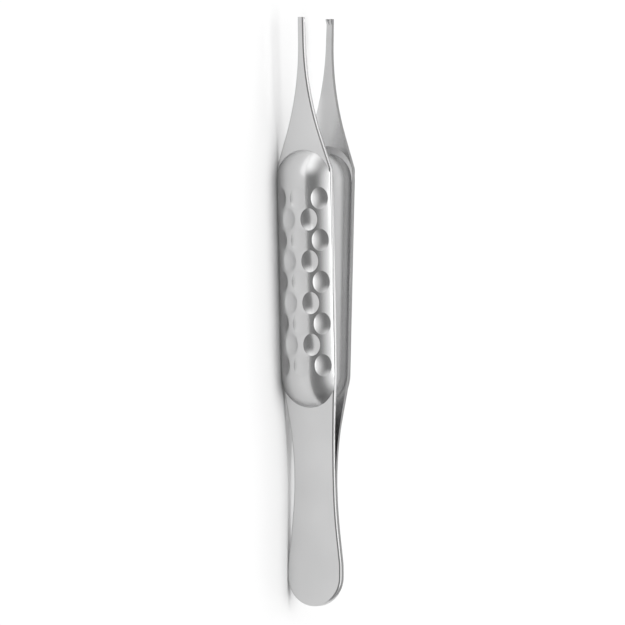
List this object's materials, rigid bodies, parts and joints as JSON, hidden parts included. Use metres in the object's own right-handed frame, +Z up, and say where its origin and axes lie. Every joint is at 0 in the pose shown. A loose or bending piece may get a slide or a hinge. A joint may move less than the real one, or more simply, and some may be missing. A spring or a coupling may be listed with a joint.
{
  "type": "toothed tissue forceps",
  "caption": "Sprung steel tweezers with a welded butt, hollow dimpled thumb grips and slender jaws whose end teeth interlock when squeezed.",
  "frame": {"origin": "on the surface that the tweezers lie on, under the middle of their length and of their opening", "axes": "+X from the butt to the tips; +Y across the opening, towards the single tooth arm; +Z up, across the width of the blades"},
  "size_m": [0.12, 0.0168, 0.0123],
  "materials": {
    "satin_steel": "satin ground stainless steel, bright edges"
  },
  "bodies": {
    "welded_butt": {"welded_butt": "satin_steel"},
    "single_tooth_arm": {"single_tooth_arm": "satin_steel"},
    "twin_tooth_arm": {"twin_tooth_arm": "satin_steel"}
  },
  "joints": [
    {"name": "single_tooth_arm_flex", "type": "hinge", "parent": "welded_butt", "child": "single_tooth_arm", "pos_m": [-0.033, 0.00012, 0.00615], "axis": [0, 0, -1], "range_deg": [0, 3.7], "stiffness_Nm_per_rad": 3},
    {"name": "twin_tooth_arm_flex", "type": "hinge", "parent": "welded_butt", "child": "twin_tooth_arm", "pos_m": [-0.033, -0.00012, 0.00615], "axis": [0, 0, 1], "range_deg": [0, 3.7], "stiffness_Nm_per_rad": 3}
  ]
}
